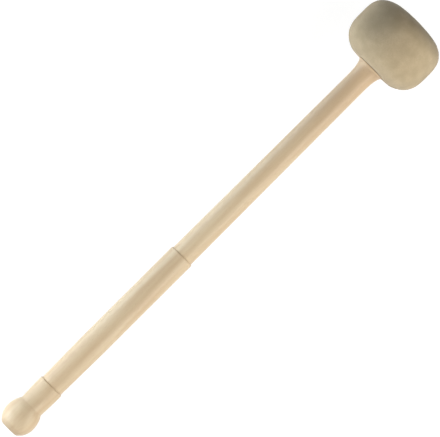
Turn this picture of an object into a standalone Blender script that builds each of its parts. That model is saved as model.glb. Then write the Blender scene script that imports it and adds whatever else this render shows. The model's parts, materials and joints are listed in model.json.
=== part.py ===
"""A drum mallet: a turned maple handle that carries a padded wooden core in a seamless felt cover.

Metres, +Z up. The mallet lies on a flat surface at z = 0, on its butt knob and its head, with +X towards
the head. Its bounding box is centred on x = 0 and y = 0. Nearly every piece is turned about one axis, so
it is an outline of (height, radius) points. Heights on the handle count along the axis from the flat
butt, and heights in the head count from the seat, the flat top of the handle's flare.
"""

import math

import bmesh
import bpy
from mathutils import Vector

# Fit between pieces that touch
CLEARANCE = 0.0003

# Butt knob
BUTT_FACE_RADIUS = 0.0065
KNOB_RADIUS = 0.01175
KNOB_BACK_LENGTH = 0.0103
KNOB_FRONT_LENGTH = 0.0103
KNOB_FULLNESS = 2.0

# Collar above the knob
NECK_RADIUS = 0.0087
COLLAR_RADIUS = 0.00915
COLLAR_RISE_LENGTH = 0.0113
COLLAR_LAND_LENGTH = 0.0075

# Grip, with a scribed groove at each end
GRIP_TAIL_RADIUS = 0.0084
GRIP_RADIUS = 0.0089
GRIP_RISE_LENGTH = 0.0380
GRIP_LAND_LENGTH = 0.0814
EDGE_ROUND = 0.0005
SCRIBE_WIDTH = 0.0008
SCRIBE_DEPTH = 0.0003

# Shaft and the flare that the head sits on
SHAFT_FOOT_RADIUS = 0.0081
SHAFT_TIP_RADIUS = 0.00755
SHAFT_LENGTH = 0.1637
FLARE_RADIUS = 0.0103
FLARE_LENGTH = 0.0090
LIP_THICKNESS = 0.0005

# Tenon on the end of the handle
TENON_RADIUS = 0.0050
TENON_CHAMFER = 0.0008

# Felt cover, a squarish round that its seat presses flat
HEAD_RADIUS = 0.0300
CROWN_HEIGHT = 0.0207
CROWN_FULLNESS = 3.1
BASE_DEPTH = 0.0216
BASE_FULLNESS = 3.0
PRESSED_FLAT = 0.0014
FELT_WALL = 0.0055
HEM_WALL = 0.0016

# Draw thread
THREAD_DIAMETER = 0.0007
THREAD_SPACING = 0.0005

# Pads, and the core that fills the room they leave
BASE_PAD_THICKNESS = 0.0050
CROWN_PAD_THICKNESS = 0.0050
SIDE_WRAP_THICKNESS = 0.0079
WRAP_SEAM = 0.0006
CORE_WEB = 0.0050
CORE_EDGE_ROUND = 0.0025

# Screw and washer
SCREW_RADIUS = 0.0020
SCREW_LENGTH = 0.0250
SCREW_TIP_LENGTH = 0.0040
SCREW_HEAD_RADIUS = 0.0040
SCREW_HEAD_HEIGHT = 0.0024
SCREW_HEAD_ROUND = 0.0012
RECESS_SPAN = 0.0044
RECESS_SLOT = 0.0010
RECESS_DEPTH = 0.0014
WASHER_RADIUS = 0.0055
WASHER_THICKNESS = 0.0010

# How finely round shapes are cut
FACETS = 32
POINTS_PER_TURN = 24
KNOB_STEPS = 7
FLARE_STEPS = 7
COVER_STEPS = 9
CAVITY_STEPS = 8
EDGE_STEPS = 3

# One facet of every turned piece lies at the bottom, a little nearer the axis than the corners beside it
FACET = 2 * math.pi / FACETS
BOTTOM_SHARE = math.cos(FACET / 2)

# Heights along the handle, from the butt
NECK = KNOB_BACK_LENGTH + KNOB_FRONT_LENGTH
COLLAR_FULL = NECK + COLLAR_RISE_LENGTH
COLLAR_END = COLLAR_FULL + COLLAR_LAND_LENGTH
GRIP_TAIL = COLLAR_END + SCRIBE_WIDTH
GRIP_FULL = GRIP_TAIL + GRIP_RISE_LENGTH
GRIP_END = GRIP_FULL + GRIP_LAND_LENGTH
SHAFT_FOOT = GRIP_END + SCRIBE_WIDTH
SHAFT_TIP = SHAFT_FOOT + SHAFT_LENGTH
SEAT = SHAFT_TIP + FLARE_LENGTH + LIP_THICKNESS

# Heights in the head, from the seat
COVER_BASE = CLEARANCE
EQUATOR = COVER_BASE + BASE_DEPTH
APEX = EQUATOR + CROWN_HEIGHT
CAVITY_FLOOR = COVER_BASE + FELT_WALL
CAVITY_TOP = APEX - FELT_WALL
BASE_PAD_BOTTOM = CAVITY_FLOOR + CLEARANCE
BASE_PAD_TOP = BASE_PAD_BOTTOM + BASE_PAD_THICKNESS
CROWN_PAD_TOP = CAVITY_TOP - CLEARANCE
CROWN_PAD_BOTTOM = CROWN_PAD_TOP - CROWN_PAD_THICKNESS
CORE_BOTTOM = BASE_PAD_TOP + CLEARANCE
CORE_TOP = CROWN_PAD_BOTTOM - CLEARANCE
SCREW_HEAD_BASE = CORE_TOP - SCREW_HEAD_HEIGHT
WASHER_TOP = SCREW_HEAD_BASE - CLEARANCE
WASHER_BASE = WASHER_TOP - WASHER_THICKNESS
WASHER_SEAT = WASHER_BASE - CLEARANCE
SCREW_TIP = SCREW_HEAD_BASE - SCREW_LENGTH
BORE_END = WASHER_SEAT - CORE_WEB
TENON_END = BORE_END - CLEARANCE

# Radii in the head
BORE_RADIUS = TENON_RADIUS + CLEARANCE
HEM_RADIUS = BORE_RADIUS + HEM_WALL
THREAD_PATH_RADIUS = HEM_RADIUS + CLEARANCE + THREAD_DIAMETER / 2
BASE_PAD_BORE = THREAD_PATH_RADIUS + THREAD_DIAMETER / 2 + CLEARANCE
WRAP_BORE = HEAD_RADIUS - FELT_WALL - CLEARANCE - SIDE_WRAP_THICKNESS
CORE_RADIUS = WRAP_BORE - CLEARANCE
SCREW_HOLE_RADIUS = SCREW_RADIUS + CLEARANCE
COUNTERBORE_RADIUS = WASHER_RADIUS + CLEARANCE

# Points closer than this are one point
MERGE_DISTANCE = 0.000001
SHARP_ANGLE = math.radians(35)


def clear_scene():
    """Takes out whatever the scene holds."""
    for old in list(bpy.data.objects):
        bpy.data.objects.remove(old, do_unlink=True)


def linear(hex_colour):
    """An sRGB colour such as "c8a47c" as linear red, green and blue."""
    shares = [int(hex_colour[place : place + 2], 16) / 255 for place in (0, 2, 4)]
    return [share / 12.92 if share <= 0.04045 else ((share + 0.055) / 1.055) ** 2.4 for share in shares]


def look(name, hex_colour, roughness, metallic=0.0):
    """One plain surface material."""
    material = bpy.data.materials.new(name)
    material.use_nodes = True
    shader = material.node_tree.nodes["Principled BSDF"]
    shader.inputs["Base Color"].default_value = (*linear(hex_colour), 1.0)
    shader.inputs["Roughness"].default_value = roughness
    shader.inputs["Metallic"].default_value = metallic
    return material


def bulge(reach, radius, fullness, start, end, steps):
    """(distance from the widest line, radius) points of a superellipse, from one distance to another."""
    power = fullness / 2
    first, last = (math.asin(min((place / reach) ** power, 1)) for place in (start, end))
    points = []
    for step in range(steps + 1):
        angle = first + (last - first) * step / steps
        distance = reach * math.sin(angle) ** (1 / power)
        points.append((distance, radius * abs(math.cos(angle)) ** (1 / power)))
    return points


def rounded_edge(height, radius, size, start_angle):
    """A quarter round of that size inside a corner at (height, radius), turning outwards then upwards."""
    points = []
    for step in range(EDGE_STEPS + 1):
        angle = start_angle + math.radians(90) * step / EDGE_STEPS
        points.append((height - size * math.cos(angle), radius - size + size * math.sin(angle)))
    return points


def turned(name, outline, material, parent, seam=0.0):
    """Turns an outline about the X axis into one closed body, with a slit of the seam's angle if it has one.

    An outline that starts on the axis also ends there. Any other outline closes on itself.
    """
    shape = bmesh.new()
    start = (FACET + seam) / 2
    ring = [
        shape.verts.new((height, radius * math.sin(start), -radius * math.cos(start)))
        for height, radius in outline
    ]
    edges = [shape.edges.new(pair) for pair in zip(ring, ring[1:])]
    if outline[0][1] > MERGE_DISTANCE:
        edges.append(shape.edges.new((ring[-1], ring[0])))
    swept = bmesh.ops.spin(
        shape, geom=ring + edges, cent=(0, 0, 0), axis=(1, 0, 0), angle=seam - 2 * math.pi, steps=FACETS
    )
    if seam:
        last = [item for item in swept["geom_last"] if isinstance(item, bmesh.types.BMEdge)]
        bmesh.ops.edgeloop_fill(shape, edges=edges + last)
    bmesh.ops.remove_doubles(shape, verts=shape.verts, dist=MERGE_DISTANCE)
    bmesh.ops.recalc_face_normals(shape, faces=shape.faces)
    mesh = bpy.data.meshes.new(name)
    shape.to_mesh(mesh)
    shape.free()
    mesh.shade_smooth()
    mesh.set_sharp_from_angle(angle=SHARP_ANGLE)
    return placed(name, mesh, material, parent)


def placed(name, data, material, parent):
    """An object of that shape under its parent."""
    data.materials.append(material)
    piece = bpy.data.objects.new(name, data)
    piece.parent = parent
    bpy.context.scene.collection.objects.link(piece)
    return piece


def knob_outline():
    """The butt knob, from the middle of its flat face to the neck."""
    back_share = (1 - (BUTT_FACE_RADIUS / KNOB_RADIUS) ** KNOB_FULLNESS) ** (1 / KNOB_FULLNESS)
    front_share = (1 - (NECK_RADIUS / KNOB_RADIUS) ** KNOB_FULLNESS) ** (1 / KNOB_FULLNESS)
    back = bulge(
        KNOB_BACK_LENGTH / back_share, KNOB_RADIUS, KNOB_FULLNESS, KNOB_BACK_LENGTH, 0, KNOB_STEPS
    )
    front = bulge(
        KNOB_FRONT_LENGTH / front_share, KNOB_RADIUS, KNOB_FULLNESS, 0, KNOB_FRONT_LENGTH, KNOB_STEPS
    )
    points = [(0, 0)]
    points += [(KNOB_BACK_LENGTH - distance, radius) for distance, radius in back]
    points += [(KNOB_BACK_LENGTH + distance, radius) for distance, radius in front[1:]]
    return points


def stepped_groove(height, upper_radius, lower_radius):
    """A softened edge that drops into a scribed groove, where the smaller radius starts."""
    return [
        (height - EDGE_ROUND, upper_radius),
        (height, upper_radius - EDGE_ROUND),
        (height + SCRIBE_WIDTH / 2, lower_radius - SCRIBE_DEPTH),
        (height + SCRIBE_WIDTH, lower_radius),
    ]


def flare_outline():
    """The shaft's end, which sweeps out like a trumpet's bell to the lip that the head sits on."""
    points = []
    for step in range(FLARE_STEPS + 1):
        angle = math.radians(90) * step / FLARE_STEPS
        height = SHAFT_TIP + FLARE_LENGTH * math.sin(angle)
        points.append((height, FLARE_RADIUS - (FLARE_RADIUS - SHAFT_TIP_RADIUS) * math.cos(angle)))
    points.append((SEAT, FLARE_RADIUS))
    return points


def tenon_outline():
    """The tenon, and the pilot hole for the screw down its middle."""
    tip = SEAT + TENON_END
    return [
        (SEAT, TENON_RADIUS),
        (tip - TENON_CHAMFER, TENON_RADIUS),
        (tip, TENON_RADIUS - TENON_CHAMFER),
        (tip, SCREW_HOLE_RADIUS),
        (SEAT + SCREW_TIP + SCREW_TIP_LENGTH - CLEARANCE, SCREW_HOLE_RADIUS),
        (SEAT + SCREW_TIP - CLEARANCE, 0),
    ]


def handle_outline():
    """The whole maple stick, from its butt to the bottom of the pilot hole."""
    points = knob_outline()
    points += [(COLLAR_FULL, COLLAR_RADIUS)]
    points += stepped_groove(COLLAR_END, COLLAR_RADIUS, GRIP_TAIL_RADIUS)
    points += [(GRIP_FULL, GRIP_RADIUS)]
    points += stepped_groove(GRIP_END, GRIP_RADIUS, SHAFT_FOOT_RADIUS)
    return points + flare_outline() + tenon_outline()


def head_side(depth, low, high, steps):
    """Points up the head's round side, at a depth under its surface, from one height to another."""
    points = []
    if low < EQUATOR:
        reach = BASE_DEPTH + PRESSED_FLAT - depth
        end = max(EQUATOR - high, 0)
        below = bulge(reach, HEAD_RADIUS - depth, BASE_FULLNESS, EQUATOR - low, end, steps)
        points += [(EQUATOR - distance, radius) for distance, radius in below]
    if high > EQUATOR:
        start = max(low - EQUATOR, 0)
        above = bulge(
            CROWN_HEIGHT - depth, HEAD_RADIUS - depth, CROWN_FULLNESS, start, high - EQUATOR, steps
        )
        points += [(EQUATOR + distance, radius) for distance, radius in above[1 if points else 0 :]]
    return points


def cover_outline():
    """The felt cover: up its outside, down its inside, and round the turned-in hem at its mouth."""
    outside = head_side(0, COVER_BASE, APEX, COVER_STEPS)
    inside = head_side(FELT_WALL, CAVITY_FLOOR, CAVITY_TOP, CAVITY_STEPS)
    mouth = [
        (CAVITY_FLOOR, HEM_RADIUS),
        (BASE_PAD_TOP, HEM_RADIUS),
        (BASE_PAD_TOP, BORE_RADIUS),
        (COVER_BASE, BORE_RADIUS),
    ]
    return inside[::-1] + mouth + outside


def make_cover(felt, head):
    """The seamless felt cover, which a facet at the bottom of its widest line rests on."""
    turned("felt_cover", cover_outline(), felt, head)


def make_handle(maple, mallet):
    """The handle, turned from one piece of maple."""
    turned("handle", handle_outline(), maple, mallet)


def make_pads(felt, head):
    """The three felt pads between the core and the cover."""
    depth = FELT_WALL + CLEARANCE
    base = [(BASE_PAD_TOP, BASE_PAD_BORE), (BASE_PAD_BOTTOM, BASE_PAD_BORE)]
    base += head_side(depth, BASE_PAD_BOTTOM, BASE_PAD_TOP, CAVITY_STEPS)
    turned("base_pad", base, felt, head)
    wrap = [(CORE_TOP, WRAP_BORE), (CORE_BOTTOM, WRAP_BORE)]
    wrap += head_side(depth, CORE_BOTTOM, CORE_TOP, CAVITY_STEPS)
    turned("side_wrap", wrap, felt, head, seam=WRAP_SEAM / WRAP_BORE)
    crown = [(CROWN_PAD_BOTTOM, 0)]
    crown += head_side(depth, CROWN_PAD_BOTTOM, CROWN_PAD_TOP, CAVITY_STEPS)
    turned("crown_pad", crown, felt, head)


def make_core(beech, head):
    """The wooden core, bored for the tenon from below and counterbored for the screw from above."""
    outline = [(CORE_BOTTOM, BORE_RADIUS)]
    outline += rounded_edge(CORE_BOTTOM + CORE_EDGE_ROUND, CORE_RADIUS, CORE_EDGE_ROUND, 0)
    outline += rounded_edge(CORE_TOP - CORE_EDGE_ROUND, CORE_RADIUS, CORE_EDGE_ROUND, math.radians(90))
    outline += [
        (CORE_TOP, COUNTERBORE_RADIUS),
        (WASHER_SEAT, COUNTERBORE_RADIUS),
        (WASHER_SEAT, SCREW_HOLE_RADIUS),
        (BORE_END, SCREW_HOLE_RADIUS),
        (BORE_END, BORE_RADIUS),
    ]
    turned("core", outline, beech, head)


def cross_recess(head):
    """The guide shape that cuts the cross in the screw's head."""
    arm = RECESS_SPAN / 2
    slot = RECESS_SLOT / 2
    corners = []
    for turn in range(4):
        angle = math.radians(90) * turn
        for along, aside in ((arm, -slot), (arm, slot), (slot, slot)):
            across = along * math.cos(angle) - aside * math.sin(angle)
            upward = along * math.sin(angle) + aside * math.cos(angle)
            corners.append((across, upward))
    shape = bmesh.new()
    floor = shape.faces.new([shape.verts.new((CORE_TOP - RECESS_DEPTH, y, z)) for y, z in corners])
    raised = bmesh.ops.extrude_face_region(shape, geom=[floor])["geom"]
    lifted = [item for item in raised if isinstance(item, bmesh.types.BMVert)]
    bmesh.ops.translate(shape, verts=lifted, vec=(2 * RECESS_DEPTH, 0, 0))
    bmesh.ops.recalc_face_normals(shape, faces=shape.faces)
    mesh = bpy.data.meshes.new("cross_recess")
    shape.to_mesh(mesh)
    shape.free()
    cutter = bpy.data.objects.new("cross_recess", mesh)
    cutter.parent = head
    cutter.hide_render = True
    cutter.display_type = "WIRE"
    bpy.context.scene.collection.objects.link(cutter)
    return cutter


def make_screw(steel, head):
    """The wood screw, point down, with a pan head and a cross recess."""
    outline = [
        (SCREW_TIP, 0),
        (SCREW_TIP + SCREW_TIP_LENGTH, SCREW_RADIUS),
        (SCREW_HEAD_BASE, SCREW_RADIUS),
        (SCREW_HEAD_BASE, SCREW_HEAD_RADIUS),
    ]
    shoulder = CORE_TOP - SCREW_HEAD_ROUND
    outline += rounded_edge(shoulder, SCREW_HEAD_RADIUS, SCREW_HEAD_ROUND, math.radians(90))
    outline += [(CORE_TOP, 0)]
    screw = turned("core_screw", outline, steel, head)
    cut = screw.modifiers.new("cross recess", "BOOLEAN")
    cut.operation = "DIFFERENCE"
    cut.object = cross_recess(head)


def make_washer(steel, head):
    """The flat washer under the screw's head."""
    outline = [
        (WASHER_BASE, SCREW_HOLE_RADIUS),
        (WASHER_BASE, WASHER_RADIUS),
        (WASHER_TOP, WASHER_RADIUS),
        (WASHER_TOP, SCREW_HOLE_RADIUS),
    ]
    turned("screw_washer", outline, steel, head)


def thread_route():
    """Points of the draw thread, wound up the turned-in hem, with a straight stretch at each end."""
    pitch = THREAD_DIAMETER + THREAD_SPACING
    low = CAVITY_FLOOR + CLEARANCE + THREAD_DIAMETER / 2
    high = BASE_PAD_TOP - CLEARANCE - THREAD_DIAMETER / 2
    steps = int(POINTS_PER_TURN * (high - low) / pitch)
    points = []
    for step in range(steps + 1):
        angle = 2 * math.pi * step / POINTS_PER_TURN
        across = THREAD_PATH_RADIUS * math.sin(angle)
        upward = -THREAD_PATH_RADIUS * math.cos(angle)
        points.append(Vector((low + pitch * step / POINTS_PER_TURN, across, upward)))
    start = points[0] + THREAD_DIAMETER * (points[0] - points[1]).normalized()
    end = points[-1] + THREAD_DIAMETER * (points[-1] - points[-2]).normalized()
    return [start, *points, end]


def least_gap(route):
    """The smallest space between two turns of the thread."""
    apart = POINTS_PER_TURN // 2
    pairs = ((here, there) for place, here in enumerate(route) for there in route[place + apart :])
    return min((here - there).length for here, there in pairs) - THREAD_DIAMETER


def make_thread(waxed, head):
    """The draw thread, one unbroken winding that holds the cover's mouth shut behind the flare."""
    route = thread_route()
    curve = bpy.data.curves.new("draw_thread", "CURVE")
    curve.dimensions = "3D"
    curve.bevel_depth = THREAD_DIAMETER / 2
    curve.bevel_resolution = 1
    curve.use_fill_caps = True
    spline = curve.splines.new("POLY")
    spline.points.add(len(route) - 1)
    for point, place in zip(spline.points, route):
        point.co = (*place, 1)
    placed("draw_thread", curve, waxed, head)
    print(f"draw_thread: {len(route)} points, least gap between turns {least_gap(route) * 1000:.2f} mm")


def resting_place():
    """The tilt of the mallet's axis, and where its butt is, with the knob and the head both on z = 0."""
    side = head_side(0, COVER_BASE, APEX, COVER_STEPS)
    stick = [(height, radius * BOTTOM_SHARE) for height, radius in handle_outline() if height <= SEAT]
    head = [(SEAT + height, radius * BOTTOM_SHARE) for height, radius in side]
    slope = min(
        max((high - low) / (far - near) for far, high in head if far > near) for near, low in stick
    )
    tilt = math.atan(slope)
    corners = stick + head
    drop = max(radius * math.cos(tilt) - height * math.sin(tilt) for height, radius in corners)
    back = min(height * math.cos(tilt) - radius * math.sin(tilt) for height, radius in corners)
    front = max(height * math.cos(tilt) + radius * math.sin(tilt) for height, radius in corners)
    return tilt, Vector((-(back + front) / 2, 0, drop))


def make_axes():
    """Two empties: the mallet's axis at the butt, and the head's seat on it."""
    tilt, butt = resting_place()
    mallet = bpy.data.objects.new("mallet_axis", None)
    mallet.location = butt
    mallet.rotation_euler = (0, -tilt, 0)
    head = bpy.data.objects.new("head_seat", None)
    head.location = (SEAT, 0, 0)
    head.parent = mallet
    for axis in (mallet, head):
        bpy.context.scene.collection.objects.link(axis)
    print(f"tilt {math.degrees(tilt):.4f} degrees, butt at x {butt.x:.6f} z {butt.z:.6f}")
    return mallet, head


def main():
    clear_scene()
    mallet, head = make_axes()
    make_handle(look("turned maple", "dcc39c", 0.45), mallet)
    make_core(look("turned beech", "c79f74", 0.6), head)
    make_pads(look("white felt", "ded8c8", 0.95), head)
    make_cover(look("greige felt", "b9a988", 0.95), head)
    make_thread(look("waxed thread", "e6dcc0", 0.6), head)
    steel = look("zinc plated steel", "b9bcc0", 0.35, metallic=1.0)
    make_screw(steel, head)
    make_washer(steel, head)


main()
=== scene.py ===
import json
import math

import bmesh
import bpy
from bpy.props import FloatProperty, IntProperty, PointerProperty, StringProperty
from bpy.types import Operator, Panel, PropertyGroup
from mathutils import Matrix, Vector, noise


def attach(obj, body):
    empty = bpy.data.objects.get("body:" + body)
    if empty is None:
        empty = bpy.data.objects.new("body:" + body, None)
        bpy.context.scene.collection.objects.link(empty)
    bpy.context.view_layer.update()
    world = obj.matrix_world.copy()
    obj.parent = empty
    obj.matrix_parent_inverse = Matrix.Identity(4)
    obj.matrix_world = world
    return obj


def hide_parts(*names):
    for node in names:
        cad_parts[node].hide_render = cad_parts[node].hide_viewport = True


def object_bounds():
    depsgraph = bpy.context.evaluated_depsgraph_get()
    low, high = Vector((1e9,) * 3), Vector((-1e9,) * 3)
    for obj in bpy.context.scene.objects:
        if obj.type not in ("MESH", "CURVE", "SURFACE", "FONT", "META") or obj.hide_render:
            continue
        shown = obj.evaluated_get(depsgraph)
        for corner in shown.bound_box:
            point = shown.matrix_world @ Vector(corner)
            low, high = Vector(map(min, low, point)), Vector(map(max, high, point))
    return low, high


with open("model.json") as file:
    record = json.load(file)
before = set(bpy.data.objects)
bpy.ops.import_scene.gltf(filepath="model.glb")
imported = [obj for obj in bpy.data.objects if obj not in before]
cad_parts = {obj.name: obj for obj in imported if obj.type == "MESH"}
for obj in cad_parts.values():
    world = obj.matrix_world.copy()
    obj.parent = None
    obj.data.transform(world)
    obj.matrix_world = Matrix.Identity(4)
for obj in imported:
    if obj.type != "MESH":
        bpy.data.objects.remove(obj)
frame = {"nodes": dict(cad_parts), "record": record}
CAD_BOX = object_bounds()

bl_info = {
    "name": "Drum mallet",
    "version": (1, 0, 0),
    "blender": (4, 5, 0),
    "location": "3D View > Sidebar > Mallet",
    "description": "Finishes a turned maple drum mallet with a seamless felt head",
    "category": "Add Mesh",
}

# The mallet's own axis, from the flat butt towards the head, as the record's mount gives it
BUTT_FACE = frame["record"]["mounts"][0]
BUTT = Vector(BUTT_FACE["pos_m"])
ALONG = -Vector(BUTT_FACE["axis"]).normalized()
ASIDE = Vector((0, 1, 0))
UPWARD = ALONG.cross(ASIDE)
TILT = math.atan2(ALONG.z, ALONG.x)
AXIS_PLACE = Matrix.Translation(BUTT) @ Matrix.Rotation(-TILT, 4, "Y")
TO_AXIS = AXIS_PLACE.inverted()

# The photograph's frame, and the mallet's two ends in it, in pixels
PHOTO_CENTRE = Vector((220, 218.5))
PHOTO_WIDTH = 440
BUTT_PIXEL = Vector((9.0, 428.5))
APEX_PIXEL = Vector((416.9, 21.9))

# How squarely the knob and the two halves of the head curve, where 2 is an ellipse
KNOB_FULLNESS = 2.0
CROWN_FULLNESS = 3.1
BASE_FULLNESS = 3.0

# A millimetre, for pattern sizes, and the distance under which points are one
MM = 0.001
MERGE_DISTANCE = 0.000001

# How finely round pieces are cut
HANDLE_SEGMENTS = 96
HEAD_SEGMENTS = 144
PAD_SEGMENTS = 64


def metres(name, description, default):
    return FloatProperty(name=name, description=description, default=default, unit="LENGTH", precision=5)


def paint(name, description, default):
    return StringProperty(name=name, description=f"{description}, as sRGB hex", default=default)


class HandleSizes(PropertyGroup):
    """Sizes of the turned handle, counted from its butt."""

    clearance: metres("Clearance", "Gap between pieces that touch", 0.0003)
    butt_face_radius: metres("Butt face", "Radius of the flat butt", 0.0065)
    knob_radius: metres("Knob", "Radius of the butt knob", 0.01175)
    knob_back: metres("Knob back", "From the butt to the knob's widest line", 0.0103)
    knob_front: metres("Knob front", "From the knob's widest line to the neck", 0.0103)
    neck_radius: metres("Neck", "Radius where the knob and the collar meet", 0.0087)
    collar_radius: metres("Collar", "Radius of the collar's land", 0.00915)
    collar_full: metres("Collar land", "From the butt to the collar's land", 0.0319)
    collar_end: metres("Collar end", "From the butt to the collar's groove", 0.0394)
    grip_tail_radius: metres("Grip tail", "Radius of the grip at the collar", 0.0084)
    grip_radius: metres("Grip", "Radius of the grip's straight part", 0.0089)
    grip_full: metres("Grip straight", "From the butt to the grip's straight part", 0.0782)
    grip_end: metres("Shoulder", "From the butt to the grip's shoulder", 0.1596)
    scribe_width: metres("Scribe width", "Width of a scribed groove", 0.0008)
    scribe_depth: metres("Scribe depth", "Depth of a scribed groove", 0.00008)
    edge_round: metres("Edge", "Rounding beside a groove", 0.0006)
    shaft_foot_radius: metres("Shaft foot", "Radius of the shaft at the shoulder", 0.0081)
    shaft_tip_radius: metres("Shaft tip", "Radius of the shaft at the flare", 0.00755)
    shaft_tip: metres("Flare start", "From the butt to the flare", 0.3210)
    flare_radius: metres("Lip", "Radius of the flare's lip", 0.0103)
    lip_thickness: metres("Lip thickness", "Thickness of the flare's lip", 0.0005)
    seat: metres("Seat", "From the butt to the seat of the head", 0.3336)
    tenon_radius: metres("Tenon", "Radius of the tenon in the head", 0.0050)
    tenon_end: metres("Tenon end", "From the seat to the tenon's end", 0.0222)
    tenon_chamfer: metres("Tenon chamfer", "Chamfer round the tenon's end", 0.0008)
    pilot_radius: metres("Pilot hole", "Radius of the screw's hole", 0.0023)
    pilot_floor: metres("Pilot floor", "From the seat to where the pilot hole narrows", 0.0078)
    pilot_end: metres("Pilot end", "From the seat to the pilot hole's point", 0.0038)


class HeadSizes(PropertyGroup):
    """Sizes of the felt head, counted from the seat on the handle's flare."""

    head_radius: metres("Head", "Radius of the head's widest line", 0.0300)
    crown_height: metres("Crown", "Head above its widest line", 0.0207)
    base_depth: metres("Base", "Head below its widest line", 0.0216)
    pressed_flat: metres("Pressed flat", "Depth that the seat flattens", 0.0014)
    felt_wall: metres("Felt", "Thickness of the felt cover", 0.0055)
    hem_wall: metres("Hem", "Thickness of the turned-in hem", 0.0016)
    pad_thickness: metres("Pads", "Thickness of the base pad and the crown pad", 0.0050)
    wrap_thickness: metres("Wrap", "Thickness of the felt round the core", 0.0079)
    wrap_seam: metres("Wrap seam", "Width of the slit where the wrap's ends meet", 0.0006)
    thread_diameter: metres("Thread", "Thickness of the two-ply draw thread", 0.0007)
    thread_spacing: metres("Thread spacing", "Gap between turns of the thread", 0.0005)
    thread_lay: metres("Thread lay", "Length in which the plies twist once", 0.0028)
    lump_height: metres("Lumps", "Unevenness of the pressed felt", 0.0002)
    lump_size: metres("Lump size", "Distance between lumps", 0.014)
    mouth_room: metres("Mouth room", "Width of the smooth ring of felt round the flare", 0.0015)
    fibre_length: metres("Fibre length", "Length of a loose fibre", 0.0014)
    fibre_radius: metres("Fibre radius", "Half the thickness of a loose fibre", 0.000025)
    fibre_spacing: metres("Fibre spacing", "Least distance between loose fibres", 0.0008)
    fibre_seed: IntProperty(name="Fibre seed", description="Which way the loose fibres lie", default=4)


class MalletColours(PropertyGroup):
    """Colours of the mallet's finishes."""

    maple_light: paint("Maple, light", "Early wood", "e8d4b3")
    maple_dark: paint("Maple, dark", "Late wood", "dfc6a3")
    maple_warm: paint("Maple, warm", "Darker wood towards the head", "d4b795")
    # Dark marks on the maple: ray flecks, end grain and tool burn, and painted shade in the grooves and at
    # the neck
    maple_burn_and_shade: paint("Maple, scribed", "Burned wood and painted groove shade", "a5805a")
    felt_light: paint("Felt, light", "Cleaner wool", "d2c1a2")
    felt_dark: paint("Felt, dark", "Darker wool", "c1b091")
    # Painted shade: the colour that darkens the felt's crown and one side of the head
    felt_painted_shade: paint("Felt, painted shade", "Felt darkened by painted shade", "8f846e")
    beech: paint("Beech", "Turned core", "c79f74")
    beech_ray: paint("Beech rays", "Short dark flecks", "a87a4e")
    pad_light: paint("Pad felt, light", "Undyed wool", "e4dece")
    pad_dark: paint("Pad felt, dark", "Undyed wool in its hollows", "cfc7b2")
    thread: paint("Thread", "Waxed linen", "e6dcc0")
    steel: paint("Steel", "Bright zinc plating", "c4c7ca")


def handle_sizes():
    return bpy.context.scene.mallet_handle


def head_sizes():
    return bpy.context.scene.mallet_head


def colour(name):
    """One of the mallet's colours, as linear red, green, blue and alpha."""
    return linear(getattr(bpy.context.scene.mallet_colours, name))


def linear(hex_colour):
    """An sRGB hex colour as linear red, green, blue and alpha."""
    shares = [int(hex_colour[place : place + 2], 16) / 255 for place in (0, 2, 4)]
    levels = [share / 12.92 if share <= 0.04045 else ((share + 0.055) / 1.055) ** 2.4 for share in shares]
    return (*levels, 1.0)


def add_node(tree, kind, settings=(), **inputs):
    """Adds a node with its settings, and links or sets its inputs, by name or as i0, i1 by number."""
    node = tree.nodes.new(kind)
    for name, value in settings:
        setattr(node, name, value)
    for name, value in inputs.items():
        numbered = name[0] == "i" and name[1:].isdigit()
        socket = node.inputs[int(name[1:])] if numbered else node.inputs[name.replace("_", " ")]
        if isinstance(value, bpy.types.NodeSocket):
            tree.links.new(value, socket)
        else:
            socket.default_value = value
    return node


def new_material(name):
    """A material with its tree and its plain Principled shader."""
    material = bpy.data.materials.new(name)
    material.use_nodes = True
    return material, material.node_tree, material.node_tree.nodes["Principled BSDF"]


def axis_point(tree):
    """The place on the mallet counted from its butt: X along the handle, Y and Z across it."""
    place = add_node(tree, "ShaderNodeTexCoord").outputs["Object"]
    settings = [("vector_type", "TEXTURE")]
    turn = (0, -TILT, 0)
    mapping = add_node(tree, "ShaderNodeMapping", settings, Vector=place, Location=BUTT, Rotation=turn)
    return mapping.outputs["Vector"]


def patches(tree, point, along, across, detail=2.0):
    """Noise whose patches have these real sizes along and across the handle."""
    scale = (1 / along, 1 / across, 1 / across)
    scaled = add_node(tree, "ShaderNodeMapping", Vector=point, Scale=scale).outputs["Vector"]
    return add_node(tree, "ShaderNodeTexNoise", Vector=scaled, Scale=1.0, Detail=detail).outputs["Fac"]


def spread(tree, value, low, high, to_low=0.0, to_high=1.0):
    """Maps a value from one range to another, held at both ends."""
    ends = {"From_Min": low, "From_Max": high, "To_Min": to_low, "To_Max": to_high}
    return add_node(tree, "ShaderNodeMapRange", Value=value, **ends).outputs["Result"]


def maths(tree, operation, first, second=0.0):
    settings = [("operation", operation)]
    return add_node(tree, "ShaderNodeMath", settings, i0=first, i1=second).outputs["Value"]


def blended(tree, share, first, second):
    """The first colour, turned into the second by a share."""
    settings = [("data_type", "RGBA")]
    return add_node(tree, "ShaderNodeMix", settings, i0=share, i6=first, i7=second).outputs[2]


def raised(tree, shader, height, strength, distance):
    """Gives a shader's surface that relief."""
    bump = add_node(tree, "ShaderNodeBump", Height=height, Strength=strength, Distance=distance)
    tree.links.new(bump.outputs["Normal"], shader.inputs["Normal"])


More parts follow.
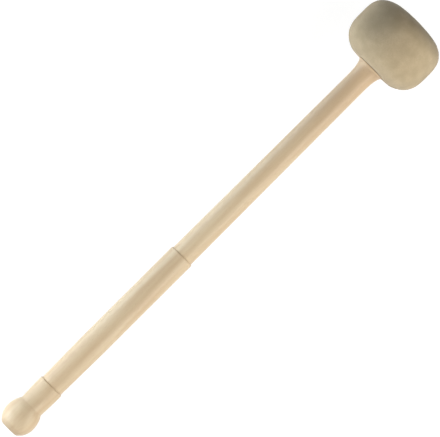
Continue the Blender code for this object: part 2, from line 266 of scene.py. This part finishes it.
def maple_finish():
    """Hard maple, turned, sanded and lacquered satin: pale and close-grained, with faint long streaks."""
    material, tree, shader = new_material("Turned maple, satin lacquer")
    point = axis_point(tree)
    streaks = patches(tree, point, 70 * MM, 4 * MM)
    grain = patches(tree, point, 16 * MM, 0.8 * MM, 3.0)
    rays = patches(tree, point, 2.2 * MM, 0.35 * MM, 1.0)
    wood = blended(tree, spread(tree, streaks, 0.35, 0.65), colour("maple_light"), colour("maple_dark"))
    wood = blended(tree, spread(tree, grain, 0.5, 0.75, 0.0, 0.35), wood, colour("maple_dark"))
    along = add_node(tree, "ShaderNodeSeparateXYZ", Vector=point).outputs["X"]
    wood = blended(tree, spread(tree, along, 240 * MM, 300 * MM, 0.0, 0.55), wood, colour("maple_warm"))
    wood = blended(tree, spread(tree, rays, 0.62, 0.8, 0.0, 0.22), wood, colour("maple_burn_and_shade"))
    # Darkens the butt's end grain, and lays a line of tool burn and painted shade at the neck and in both
    # grooves
    wood = blended(tree, burn_and_groove_shade(tree, along), wood, colour("maple_burn_and_shade"))
    tree.links.new(wood, shader.inputs["Base Color"])
    shader.inputs["Roughness"].default_value = 0.45
    shader.inputs["Specular IOR Level"].default_value = 0.4
    shader.inputs["Coat Weight"].default_value = 0.3
    shader.inputs["Coat Roughness"].default_value = 0.4
    raised(tree, shader, grain, 0.12, 0.1 * MM)
    return material


def burn_and_groove_shade(tree, along):
    """How far the wood is darkened: on the butt's end grain, and at the neck and in both grooves by a line
    that is partly a tool burn and partly painted shade.
    """
    size = handle_sizes()
    middle = size.scribe_width / 2
    # The lines at the neck and the grooves: partly a real burn, partly painted shade of the crease and the
    # grooves
    lines = {size.knob_back + size.knob_front: 0.1, size.collar_end + middle: 0.22}
    lines[size.grip_end + middle] = 0.15
    darkness = spread(tree, along, 0.0, 4 * MM, 0.35, 0.0)
    for height, strength in lines.items():
        away = maths(tree, "ABSOLUTE", maths(tree, "SUBTRACT", along, height))
        line = spread(tree, away, 0.1 * MM, 0.7 * MM, strength, 0.0)
        darkness = maths(tree, "MAXIMUM", darkness, line)
    return darkness


def painted_felt_shade(tree, point):
    """How much painted shade darkens the felt: a band over its crown, and a patch that is darkest on one
    side.
    """
    along = add_node(tree, "ShaderNodeSeparateXYZ", Vector=point).outputs["X"]
    crown = handle_sizes().seat + HeadPlaces().apex
    # Painted shade: a band over the crown, darker towards the apex
    top = spread(tree, along, crown - 11 * MM, crown - 1 * MM, 0.0, 0.4)
    # Painted shade: a soft patch centred on one side of the head
    shade_centre = (crown - 15 * MM, 17 * MM, 24 * MM)
    settings = [("operation", "DISTANCE")]
    away = add_node(tree, "ShaderNodeVectorMath", settings, i0=point, i1=shade_centre).outputs["Value"]
    return maths(tree, "MAXIMUM", top, spread(tree, away, 3 * MM, 19 * MM, 0.55, 0.0))


def felt_finish(name, light, dark, with_painted_shade=False):
    """Pressed wool felt: matt and close, faintly mottled, with a soft bloom where fibres stand out."""
    material, tree, shader = new_material(name)
    point = axis_point(tree)
    clouds = patches(tree, point, 8 * MM, 8 * MM)
    nap = patches(tree, point, 0.9 * MM, 0.9 * MM, 4.0)
    wool = blended(tree, spread(tree, clouds, 0.3, 0.7), colour(light), colour(dark))
    wool = blended(tree, spread(tree, nap, 0.4, 0.75, 0.0, 0.6), wool, colour(dark))
    # Painted shade on the felt's crown and on one side of the head
    if with_painted_shade:
        wool = blended(tree, painted_felt_shade(tree, point), wool, colour("felt_painted_shade"))
    tree.links.new(wool, shader.inputs["Base Color"])
    shader.inputs["Roughness"].default_value = 0.95
    shader.inputs["Specular IOR Level"].default_value = 0.2
    shader.inputs["Sheen Weight"].default_value = 0.25
    shader.inputs["Sheen Roughness"].default_value = 0.5
    raised(tree, shader, nap, 0.5, 0.25 * MM)
    return material


def beech_finish():
    """Steamed beech, turned and left bare: pinkish brown with short dark ray flecks."""
    material, tree, shader = new_material("Turned beech, bare")
    flecks = patches(tree, axis_point(tree), 3 * MM, 0.6 * MM)
    wood = blended(tree, spread(tree, flecks, 0.5, 0.68), colour("beech"), colour("beech_ray"))
    tree.links.new(wood, shader.inputs["Base Color"])
    shader.inputs["Roughness"].default_value = 0.65
    return material


def steel_finish():
    """Mild steel, cold formed and zinc plated: bright grey with a slightly uneven polish."""
    material, tree, shader = new_material("Zinc plated steel")
    smears = patches(tree, axis_point(tree), 2 * MM, 2 * MM)
    tree.links.new(spread(tree, smears, 0.3, 0.7, 0.25, 0.45), shader.inputs["Roughness"])
    shader.inputs["Base Color"].default_value = colour("steel")
    shader.inputs["Metallic"].default_value = 1.0
    return material


def thread_finish():
    """Linen thread, twisted and waxed: cream, with a dull shine and fine strands under the wax."""
    material, tree, shader = new_material("Waxed linen thread")
    strands = patches(tree, axis_point(tree), 0.3 * MM, 0.3 * MM)
    linen = blended(tree, spread(tree, strands, 0.4, 0.6, 0.0, 0.3), colour("thread"), colour("beech"))
    tree.links.new(linen, shader.inputs["Base Color"])
    shader.inputs["Roughness"].default_value = 0.5
    return material


def finished(name, mesh, finish):
    """An object of that mesh with its finish."""
    mesh.materials.clear()
    mesh.materials.append(finish)
    piece = bpy.data.objects.new(name, mesh)
    bpy.context.scene.collection.objects.link(piece)
    return piece


def hand_over(piece, node=None):
    """Lets a piece ride on the mallet, take its record slot and stand for a node if it has one."""
    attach(piece, "root")
    if node:
        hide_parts(node)


def bulge(reach, radius, fullness, start, end, steps):
    """(distance from the widest line, radius) points of a superellipse, from one distance to another."""
    power = fullness / 2
    first, last = (math.asin(min((place / reach) ** power, 1)) for place in (start, end))
    points = []
    for step in range(steps + 1):
        angle = first + (last - first) * step / steps
        distance = reach * math.sin(angle) ** (1 / power)
        points.append((distance, radius * abs(math.cos(angle)) ** (1 / power)))
    return points


def quarter_round(height, radius, size, steps=4):
    """A softened outer edge of that size, just under a step at that height."""
    points = []
    for step in range(steps + 1):
        angle = math.radians(90) * step / steps
        points.append((height - size + size * math.sin(angle), radius - size + size * math.cos(angle)))
    return points


def turned(name, outline, segments, finish, seam=0.0):
    """Turns an outline of (height, radius) points about the mallet's axis into a closed, smooth piece.

    An outline that starts on the axis also ends there. Any other outline closes on itself, and may leave a
    slit of the seam's angle.
    """
    shape = bmesh.new()
    start = seam / 2
    ring = [
        shape.verts.new((height, radius * math.sin(start), -radius * math.cos(start)))
        for height, radius in outline
    ]
    edges = [shape.edges.new(pair) for pair in zip(ring, ring[1:])]
    if outline[0][1] > MERGE_DISTANCE:
        edges.append(shape.edges.new((ring[-1], ring[0])))
    sweep = seam - 2 * math.pi
    swept = bmesh.ops.spin(
        shape, geom=ring + edges, cent=(0, 0, 0), axis=(1, 0, 0), angle=sweep, steps=segments
    )
    if seam:
        last = [item for item in swept["geom_last"] if isinstance(item, bmesh.types.BMEdge)]
        bmesh.ops.edgeloop_fill(shape, edges=edges + last)
    bmesh.ops.remove_doubles(shape, verts=shape.verts, dist=MERGE_DISTANCE)
    bmesh.ops.recalc_face_normals(shape, faces=shape.faces)
    shape.transform(AXIS_PLACE)
    mesh = bpy.data.meshes.new(name)
    shape.to_mesh(mesh)
    shape.free()
    mesh.shade_smooth()
    mesh.set_sharp_from_angle(angle=math.radians(40))
    return finished(name, mesh, finish)


def knob_outline(size):
    """The butt knob, from the middle of its flat face to the neck."""
    back_share = (1 - (size.butt_face_radius / size.knob_radius) ** KNOB_FULLNESS) ** (1 / KNOB_FULLNESS)
    front_share = (1 - (size.neck_radius / size.knob_radius) ** KNOB_FULLNESS) ** (1 / KNOB_FULLNESS)
    back = bulge(size.knob_back / back_share, size.knob_radius, KNOB_FULLNESS, size.knob_back, 0, 20)
    front = bulge(size.knob_front / front_share, size.knob_radius, KNOB_FULLNESS, 0, size.knob_front, 20)
    points = [(0, 0)]
    points += [(size.knob_back - distance, radius) for distance, radius in back]
    points += [(size.knob_back + distance, radius) for distance, radius in front[1:]]
    return points


def stepped_groove(size, height, upper_radius, lower_radius):
    """A softened edge that drops into a scribed groove, where the smaller radius starts."""
    points = quarter_round(height, upper_radius, size.edge_round)
    points.append((height + size.scribe_width / 2, lower_radius - size.scribe_depth))
    points.append((height + size.scribe_width, lower_radius))
    return points


def flare_outline(size):
    """The shaft's end, which sweeps out like a trumpet's bell to the lip that the head sits on."""
    sweep = size.seat - size.lip_thickness - size.shaft_tip
    points = []
    for step in range(17):
        angle = math.radians(90) * step / 16
        rise = (size.flare_radius - size.shaft_tip_radius) * math.cos(angle)
        points.append((size.shaft_tip + sweep * math.sin(angle), size.flare_radius - rise))
    return [*points, (size.seat, size.flare_radius)]


def handle_outline(size):
    """The whole maple stick, from its butt to the bottom of the pilot hole in its tenon."""
    points = [*knob_outline(size), (size.collar_full, size.collar_radius)]
    points += stepped_groove(size, size.collar_end, size.collar_radius, size.grip_tail_radius)
    points += [(size.grip_full, size.grip_radius)]
    points += stepped_groove(size, size.grip_end, size.grip_radius, size.shaft_foot_radius)
    points += flare_outline(size)
    tip = size.seat + size.tenon_end
    points += [(size.seat, size.tenon_radius), (tip - size.tenon_chamfer, size.tenon_radius)]
    points += [(tip, size.tenon_radius - size.tenon_chamfer), (tip, size.pilot_radius)]
    return [*points, (size.seat + size.pilot_floor, size.pilot_radius), (size.seat + size.pilot_end, 0)]


class HeadPlaces:
    """Heights over the seat and radii that the pieces in the head share."""

    def __init__(self):
        size, gap = head_sizes(), handle_sizes().clearance
        self.base = gap
        self.equator = self.base + size.base_depth
        self.apex = self.equator + size.crown_height
        self.cavity_floor = self.base + size.felt_wall
        self.cavity_top = self.apex - size.felt_wall
        self.pad_depth = size.felt_wall + gap
        self.base_pad = (self.cavity_floor + gap, self.cavity_floor + gap + size.pad_thickness)
        self.crown_pad = (self.cavity_top - gap - size.pad_thickness, self.cavity_top - gap)
        self.wrap = (self.base_pad[1] + gap, self.crown_pad[0] - gap)
        self.bore = handle_sizes().tenon_radius + gap
        self.hem = self.bore + size.hem_wall
        self.thread_path = self.hem + gap + size.thread_diameter / 2
        self.pad_bore = self.thread_path + size.thread_diameter / 2 + gap
        self.wrap_bore = size.head_radius - self.pad_depth - size.wrap_thickness


def head_side(places, depth, low, high, steps):
    """Points up the head's round side, at a depth under its surface, from one height to another."""
    size = head_sizes()
    radius = size.head_radius - depth
    points = []
    if low < places.equator:
        reach = size.base_depth + size.pressed_flat - depth
        end = max(places.equator - high, 0)
        below = bulge(reach, radius, BASE_FULLNESS, places.equator - low, end, steps)
        points += [(places.equator - distance, across) for distance, across in below]
    if high > places.equator:
        start = max(low - places.equator, 0)
        reach = size.crown_height - depth
        above = bulge(reach, radius, CROWN_FULLNESS, start, high - places.equator, steps)
        points += [(places.equator + distance, across) for distance, across in above[bool(points) :]]
    return points


def on_seat(points):
    """Counts heights from the butt instead of the seat, and puts points that touch the axis on it."""
    seat = handle_sizes().seat
    return [(seat + height, radius if radius > MERGE_DISTANCE else 0) for height, radius in points]


def cover_outline(places):
    """The felt cover: down its inside, round the turned-in hem at its mouth and up its outside."""
    depth = head_sizes().felt_wall
    inside = head_side(places, depth, places.cavity_floor, places.cavity_top, 12)
    mouth = [(places.cavity_floor, places.hem), (places.base_pad[1], places.hem)]
    mouth += [(places.base_pad[1], places.bore), (places.base, places.bore)]
    outside = head_side(places, 0, places.base, places.apex, 36)
    return on_seat([*inside[::-1], *mouth, *outside])


def mark_outside(mesh, places):
    """Marks the faces of the cover's outer surface, clear of the handle's flare."""
    middle = AXIS_PLACE @ Vector((handle_sizes().seat + places.equator, 0, 0))
    clear = handle_sizes().flare_radius + head_sizes().mouth_room
    outside = mesh.attributes.new("outside", "BOOLEAN", "FACE")
    for face in mesh.polygons:
        place = TO_AXIS @ face.center
        far = math.hypot(place.y, place.z) > clear or place.x > handle_sizes().seat + places.equator
        outside.data[face.index].value = far and face.normal.dot(face.center - middle) > 0


def press_lumps(mesh, size):
    """Moves the marked outside in and out a little, as felt pressed by hand is, and flat on the table."""
    outside = mesh.attributes["outside"].data
    moving = {index for face in mesh.polygons if outside[face.index].value for index in face.vertices}
    still = {index for face in mesh.polygons if not outside[face.index].value for index in face.vertices}
    for index in moving - still:
        vertex = mesh.vertices[index]
        lump = noise.noise(vertex.co / size.lump_size) + 0.4 * noise.noise(3 * vertex.co / size.lump_size)
        vertex.co += size.lump_height * lump * vertex.normal
    for vertex in mesh.vertices:
        vertex.co.z = max(vertex.co.z, CAD_BOX[0][2])


def new_tree(name, inputs):
    """A Geometry Nodes tree with these named inputs, and the node that gives them out."""
    tree = bpy.data.node_groups.new(name, "GeometryNodeTree")
    tree.interface.new_socket("Geometry", in_out="INPUT", socket_type="NodeSocketGeometry")
    tree.interface.new_socket("Geometry", in_out="OUTPUT", socket_type="NodeSocketGeometry")
    for label, (kind, _) in inputs.items():
        tree.interface.new_socket(label, in_out="INPUT", socket_type=kind)
    return tree, tree.nodes.new("NodeGroupInput").outputs


def end_tree(tree, geometry, finish):
    """Ends a tree in real geometry with its finish."""
    real = add_node(tree, "GeometryNodeRealizeInstances", Geometry=geometry).outputs[0]
    coloured = add_node(tree, "GeometryNodeSetMaterial", Geometry=real, Material=finish).outputs[0]
    add_node(tree, "NodeGroupOutput", i0=coloured)


def grown(name, base, tree, inputs, finish):
    """The plain mesh that a tree makes from a base mesh, as an object of its own."""
    start = bpy.data.objects.new(f"{name}_base", base)
    bpy.context.scene.collection.objects.link(start)
    modifier = start.modifiers.new(name, "NODES")
    modifier.node_group = tree
    for item in tree.interface.items_tree:
        if item.in_out == "INPUT" and item.name in inputs:
            modifier[item.identifier] = inputs[item.name][1]
    graph = bpy.context.evaluated_depsgraph_get()
    mesh = bpy.data.meshes.new_from_object(start.evaluated_get(graph))
    if not mesh.polygons:
        raise RuntimeError(f"{name} made nothing")
    bpy.data.objects.remove(start)
    mesh.name = name
    return finished(name, mesh, finish)


def fibre_inputs():
    size = head_sizes()
    return {
        "Spacing": ("NodeSocketFloat", size.fibre_spacing),
        "Length": ("NodeSocketFloat", size.fibre_length),
        "Radius": ("NodeSocketFloat", size.fibre_radius),
        "Seed": ("NodeSocketInt", size.fibre_seed),
    }


def fibre_tree(finish):
    """Short curled fibres that lie down on the outside of the felt, each its own way."""
    tree, given = new_tree("loose fibres", fibre_inputs())
    settings = [("data_type", "BOOLEAN")]
    outside = add_node(tree, "GeometryNodeInputNamedAttribute", settings, Name="outside").outputs[0]
    settings = [("distribute_method", "POISSON")]
    roots = add_node(
        tree,
        "GeometryNodeDistributePointsOnFaces",
        settings,
        Mesh=given["Geometry"],
        Selection=outside,
        Distance_Min=given["Spacing"],
        Density_Max=1.0e7,
        Seed=given["Seed"],
    ).outputs
    arc = {"Start": (-0.4, 0, -0.05), "Middle": (0.05, 0.2, 0.25), "End": (0.4, 0, -0.02)}
    strand = add_node(tree, "GeometryNodeCurveQuadraticBezier", Resolution=2, **arc).outputs[0]
    strand = add_node(tree, "GeometryNodeTransform", Geometry=strand, Scale=(1, 1, 1))
    tree.links.new(given["Length"], strand.inputs["Scale"])
    rim = add_node(tree, "GeometryNodeCurvePrimitiveCircle", Resolution=3, Radius=given["Radius"]).outputs[0]
    tube = add_node(tree, "GeometryNodeCurveToMesh", Curve=strand.outputs[0], Profile_Curve=rim).outputs[0]
    settings = [("data_type", "FLOAT_VECTOR")]
    lean = add_node(
        tree,
        "FunctionNodeRandomValue",
        settings,
        i0=(-0.1, -0.1, -math.pi),
        i1=(0.1, 0.1, math.pi),
        Seed=given["Seed"],
    ).outputs[0]
    settings = [("rotation_space", "LOCAL")]
    way = add_node(
        tree, "FunctionNodeRotateRotation", settings, Rotation=roots["Rotation"], Rotate_By=lean
    ).outputs[0]
    fibres = add_node(
        tree, "GeometryNodeInstanceOnPoints", Points=roots["Points"], Instance=tube, Rotation=way
    ).outputs[0]
    end_tree(tree, fibres, finish)
    return tree


def thread_inputs():
    size, places = head_sizes(), HeadPlaces()
    pitch = size.thread_diameter + size.thread_spacing
    rise = size.pad_thickness + handle_sizes().clearance
    rise -= 2 * handle_sizes().clearance + size.thread_diameter
    return {
        "Turns": ("NodeSocketFloat", rise / pitch),
        "Rise": ("NodeSocketFloat", rise),
        "Path radius": ("NodeSocketFloat", places.thread_path),
        "Ply radius": ("NodeSocketFloat", size.thread_diameter / 4),
        "Lay": ("NodeSocketFloat", size.thread_lay),
    }


def thread_tree(finish):
    """Two plies twisted round each other along one spiral."""
    tree, given = new_tree("draw thread", thread_inputs())
    spiral = add_node(
        tree,
        "GeometryNodeCurveSpiral",
        Resolution=48,
        Rotations=given["Turns"],
        Start_Radius=given["Path radius"],
        End_Radius=given["Path radius"],
        Height=given["Rise"],
    ).outputs[0]
    length = add_node(tree, "GeometryNodeSplineParameter").outputs["Length"]
    turns = maths(tree, "DIVIDE", length, given["Lay"])
    twist = maths(tree, "MULTIPLY", turns, 2 * math.pi)
    route = add_node(tree, "GeometryNodeSetCurveTilt", Curve=spiral, Tilt=twist).outputs[0]
    plies = add_node(tree, "GeometryNodeJoinGeometry")
    for side in (-1, 1):
        rim = add_node(tree, "GeometryNodeCurvePrimitiveCircle", Resolution=8, Radius=given["Ply radius"])
        aside = maths(tree, "MULTIPLY", given["Ply radius"], side)
        place = add_node(tree, "ShaderNodeCombineXYZ", X=aside).outputs[0]
        ply = add_node(tree, "GeometryNodeTransform", Geometry=rim.outputs[0], Translation=place)
        tree.links.new(ply.outputs[0], plies.inputs[0])
    tube = add_node(tree, "GeometryNodeCurveToMesh", Curve=route, Profile_Curve=plies.outputs[0])
    tube.inputs["Fill Caps"].default_value = True
    level = add_node(tree, "GeometryNodeTransform", Geometry=tube.outputs[0])
    level.inputs["Rotation"].default_value = (0, math.radians(90), 0)
    end_tree(tree, level.outputs[0], finish)
    return tree


class MALLET_OT_handle(Operator):
    """Turn the maple handle"""

    bl_idname = "mallet.handle"
    bl_label = "Handle"

    def execute(self, context):
        handle = turned("turned_handle", handle_outline(handle_sizes()), HANDLE_SEGMENTS, maple_finish())
        hand_over(handle, "handle")
        return {"FINISHED"}


class MALLET_OT_cover(Operator):
    """Press the seamless felt cover and raise its loose fibres"""

    bl_idname = "mallet.cover"
    bl_label = "Felt cover"

    def execute(self, context):
        places = HeadPlaces()
        # The cover's felt carries painted shade on its crown and on one side
        felt = felt_finish("Pressed wool felt, greige", "felt_light", "felt_dark", with_painted_shade=True)
        cover = turned("pressed_cover", cover_outline(places), HEAD_SEGMENTS, felt)
        mark_outside(cover.data, places)
        press_lumps(cover.data, head_sizes())
        fibres = grown("loose_fibres", cover.data.copy(), fibre_tree(felt), fibre_inputs(), felt)
        hand_over(fibres)
        hand_over(cover, "felt_cover")
        return {"FINISHED"}


class MALLET_OT_pads(Operator):
    """Cut the three felt pads inside the cover"""

    bl_idname = "mallet.pads"
    bl_label = "Felt pads"

    def execute(self, context):
        places = HeadPlaces()
        felt = felt_finish("Pressed wool felt, undyed", "pad_light", "pad_dark")
        base_low, base_high = places.base_pad
        base = [(base_high, places.pad_bore), (base_low, places.pad_bore)]
        base += head_side(places, places.pad_depth, base_low, base_high, 12)
        wrap_low, wrap_high = places.wrap
        wrap = [(wrap_high, places.wrap_bore), (wrap_low, places.wrap_bore)]
        wrap += head_side(places, places.pad_depth, wrap_low, wrap_high, 16)
        crown_low, crown_high = places.crown_pad
        crown = [(crown_low, 0), *head_side(places, places.pad_depth, crown_low, crown_high, 16)]
        seam = head_sizes().wrap_seam / places.wrap_bore
        pads = {"base_pad": (base, 0), "side_wrap": (wrap, seam), "crown_pad": (crown, 0)}
        for node, (outline, slit) in pads.items():
            pad = turned(f"felt_{node}", on_seat(outline), PAD_SEGMENTS, felt, slit)
            hand_over(pad, node)
        return {"FINISHED"}


class MALLET_OT_thread(Operator):
    """Wind the draw thread round the cover's hem"""

    bl_idname = "mallet.thread"
    bl_label = "Draw thread"

    def execute(self, context):
        finish = thread_finish()
        base = bpy.data.meshes.new("thread_base")
        thread = grown("wound_thread", base, thread_tree(finish), thread_inputs(), finish)
        low = HeadPlaces().cavity_floor + handle_sizes().clearance + head_sizes().thread_diameter / 2
        start = Matrix.Translation((handle_sizes().seat + low, 0, 0))
        thread.data.transform(AXIS_PLACE @ start)
        thread.data.shade_smooth()
        hand_over(thread, "draw_thread")
        return {"FINISHED"}


class MALLET_OT_core(Operator):
    """Finish the wooden core, its screw and its washer"""

    bl_idname = "mallet.core"
    bl_label = "Core and screw"

    def execute(self, context):
        steel = steel_finish()
        for name, finish in (("core", beech_finish()), ("core_screw", steel), ("screw_washer", steel)):
            materials = frame["nodes"][name].data.materials
            materials.clear()
            materials.append(finish)
        return {"FINISHED"}


def floor_finish():
    """Matt white paper: pale to the light, and near white to the eye, with the mallet's soft shadow on it."""
    material, tree, paper = new_material("Matt white paper")
    paper.inputs["Base Color"].default_value = (0.8, 0.8, 0.8, 1)
    paper.inputs["Roughness"].default_value = 1.0
    paper.inputs["Specular IOR Level"].default_value = 0.0
    path = add_node(tree, "ShaderNodeLightPath").outputs
    seen = maths(tree, "MAXIMUM", path["Is Camera Ray"], path["Is Glossy Ray"])
    seen = maths(tree, "MAXIMUM", seen, path["Is Transmission Ray"])
    white = add_node(tree, "ShaderNodeEmission", Color=(1, 1, 1, 1), Strength=0.92).outputs[0]
    shade = add_node(tree, "ShaderNodeBsdfDiffuse", Color=(0.2, 0.2, 0.2, 1)).outputs[0]
    bright = add_node(tree, "ShaderNodeAddShader", i0=white, i1=shade).outputs[0]
    mixed = add_node(tree, "ShaderNodeMixShader", i0=seen, i1=paper.outputs[0], i2=bright)
    tree.links.new(mixed.outputs[0], tree.nodes["Material Output"].inputs["Surface"])
    return material


def make_floor():
    reach = 3.0
    corners = [(-reach, -reach, 0), (reach, -reach, 0), (reach, reach, 0), (-reach, reach, 0)]
    mesh = bpy.data.meshes.new("floor")
    mesh.from_pydata(corners, [], [(0, 1, 2, 3)])
    floor = finished("floor", mesh, floor_finish())
    floor.location.z = CAD_BOX[0][2] - 0.06 * MM


def photo_axes():
    """The photograph's right and up directions, a pixel's size at the mallet, and the point at its centre."""
    ends = APEX_PIXEL - BUTT_PIXEL
    length = handle_sizes().seat + HeadPlaces().apex
    pixel = length / ends.length
    slope = math.atan2(-ends.y, ends.x)
    right = math.cos(slope) * ALONG - math.sin(slope) * ASIDE
    up = math.sin(slope) * ALONG + math.cos(slope) * ASIDE
    away = PHOTO_CENTRE - (APEX_PIXEL + BUTT_PIXEL) / 2
    centre = BUTT + ALONG * length / 2 + pixel * (away.x * right - away.y * up)
    return right, up, pixel, centre


def make_camera():
    """A long lens straight above the handle, as a catalogue picture is taken."""
    right, up, pixel, centre = photo_axes()
    back = right.cross(up)
    distance = 2.5
    data = bpy.data.cameras.new("photo camera")
    data.sensor_width = 36.0
    data.lens = data.sensor_width * distance / (pixel * PHOTO_WIDTH)
    camera = bpy.data.objects.new("photo camera", data)
    turn = Matrix((right, up, back)).transposed().to_4x4()
    camera.matrix_world = Matrix.Translation(centre + distance * back) @ turn
    bpy.context.scene.collection.objects.link(camera)
    bpy.context.scene.camera = camera


# A cool window side and a warm lamp side
COOL = (0.89, 0.95, 1.0)
WARM = (1.0, 0.965, 0.9)

# Soft lamps: shares of the photograph's right, up and towards the camera, then metres, watts and colour
LAMPS = {
    "left strip": ((-1.0, 0.0, 0.18), 0.55, (0.35, 0.26), 2.15, COOL),
    "upper left strip": ((-0.7, 0.7, 0.17), 0.60, (0.35, 0.26), 1.5, COOL),
    "lower strip": ((0.0, -1.0, 0.2), 0.60, (0.35, 0.26), 0.47, WARM),
    "butt softbox": ((-0.7, -0.7, 1.2), 0.70, (0.40, 0.40), 0.92, WARM),
    "lower right softbox": ((0.7, -0.7, 0.57), 0.80, (0.40, 0.40), 2.8, WARM),
    "right softbox": ((1.0, 0.0, 0.8), 0.80, (0.40, 0.40), 2.2, WARM),
}


def make_lamps():
    """Lights the mallet from both sides, more from the lower right, as the photograph does."""
    right, up, _, centre = photo_axes()
    for name, (shares, distance, (width, height), power, tint) in LAMPS.items():
        direction = (shares[0] * right + shares[1] * up + shares[2] * right.cross(up)).normalized()
        data = bpy.data.lights.new(name, "AREA")
        data.shape = "RECTANGLE"
        data.size = width
        data.size_y = height
        data.color = tint
        data.energy = power
        lamp = bpy.data.objects.new(name, data)
        turn = direction.to_track_quat("Z", "Y").to_matrix().to_4x4()
        lamp.matrix_world = Matrix.Translation(centre + distance * direction) @ turn
        bpy.context.scene.collection.objects.link(lamp)


class MALLET_OT_stage(Operator):
    """Set up the floor, the camera and the lamps"""

    bl_idname = "mallet.stage"
    bl_label = "Stage"

    def execute(self, context):
        context.scene.view_settings.view_transform = "Standard"
        make_floor()
        make_camera()
        make_lamps()
        world = bpy.data.worlds.new("studio")
        world.use_nodes = True
        background = world.node_tree.nodes["Background"]
        background.inputs["Color"].default_value = (1, 1, 1, 1)
        background.inputs["Strength"].default_value = 0.05
        context.scene.world = world
        return {"FINISHED"}


class MALLET_PT_panel(Panel):
    """Lists the mallet's pieces, sizes and colours"""

    bl_idname = "MALLET_PT_panel"
    bl_label = "Drum mallet"
    bl_space_type = "VIEW_3D"
    bl_region_type = "UI"
    bl_category = "Mallet"

    def draw(self, context):
        for operator in OPERATORS:
            self.layout.operator(operator.bl_idname)
        for attribute, group in GROUPS.items():
            for name in group.__annotations__:
                self.layout.prop(getattr(context.scene, attribute), name)


OPERATORS = (
    MALLET_OT_handle,
    MALLET_OT_cover,
    MALLET_OT_pads,
    MALLET_OT_thread,
    MALLET_OT_core,
    MALLET_OT_stage,
)
GROUPS = {"mallet_handle": HandleSizes, "mallet_head": HeadSizes, "mallet_colours": MalletColours}
CLASSES = (*GROUPS.values(), *OPERATORS, MALLET_PT_panel)


def register():
    for kind in CLASSES:
        bpy.utils.register_class(kind)
    for attribute, group in GROUPS.items():
        setattr(bpy.types.Scene, attribute, PointerProperty(type=group))


def unregister():
    for attribute in GROUPS:
        delattr(bpy.types.Scene, attribute)
    for kind in reversed(CLASSES):
        bpy.utils.unregister_class(kind)


def main():
    register()
    bpy.ops.mallet.handle()
    bpy.ops.mallet.cover()
    bpy.ops.mallet.pads()
    bpy.ops.mallet.thread()
    bpy.ops.mallet.core()
    bpy.ops.mallet.stage()


if __name__ == "__main__":
    main()
